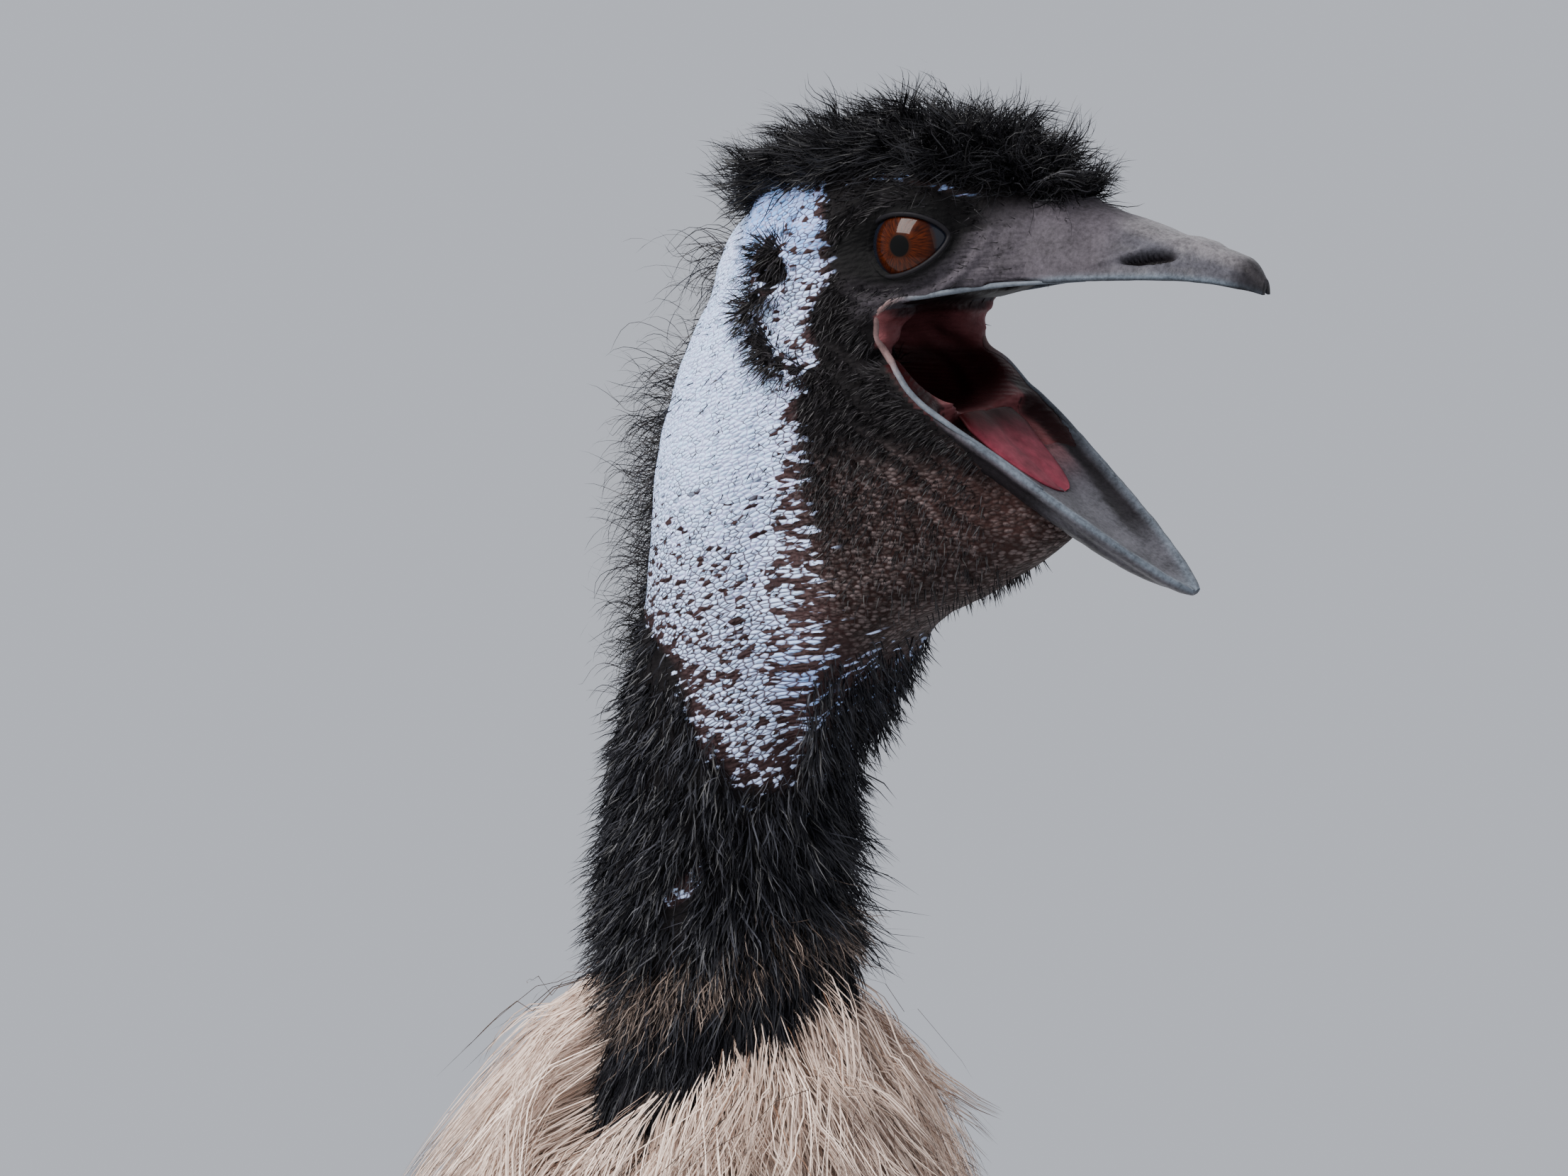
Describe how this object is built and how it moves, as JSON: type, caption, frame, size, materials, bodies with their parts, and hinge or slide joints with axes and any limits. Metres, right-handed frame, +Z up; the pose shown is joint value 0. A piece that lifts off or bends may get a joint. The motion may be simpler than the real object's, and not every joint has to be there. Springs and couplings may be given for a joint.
{
  "type": "emu",
  "caption": "Life-size emu standing on both feet, neck upright and bill wide open, with a long shaggy coat of drooping feathers.",
  "frame": {"origin": "on the floor, under the middle of the bird's box", "axes": "+X the way the bird faces, +Y its left side, +Z up"},
  "size_m": [1.1134, 0.5976, 1.5507],
  "materials": {
    "coat": "long, loose, hair-like feathers, grey-brown with dark tips, matte",
    "ruff": "pale silky feather strands at the base of the neck",
    "neck_skin": "pebbled pale blue skin with dark specks",
    "face": "dark skin under short black hair-like feathers",
    "horn": "slate-grey bill horn, satin",
    "tongue": "moist pink",
    "eye": "orange-brown iris under a clear wet cornea",
    "leg_skin": "grey-brown scaled skin",
    "claw": "blackish horn, blunt"
  },
  "bodies": {
    "root": {"bill_lower": "horn", "bill_upper": "horn", "claw_inner_left": "claw", "claw_inner_right": "claw", "claw_middle_left": "claw", "claw_middle_right": "claw", "claw_outer_left": "claw", "claw_outer_right": "claw", "eye_left": "eye", "eye_right": "eye", "head": "face", "neck_lower": "ruff", "neck_upper": "neck_skin", "shank_left": "leg_skin", "shank_right": "leg_skin", "tail": "coat", "thigh_left": "coat", "thigh_right": "coat", "toe_inner_left": "leg_skin", "toe_inner_right": "leg_skin", "toe_middle_left": "leg_skin", "toe_middle_right": "leg_skin", "toe_outer_left": "leg_skin", "toe_outer_right": "leg_skin", "tongue": "tongue", "torso": "coat"}
  },
  "joints": []
}
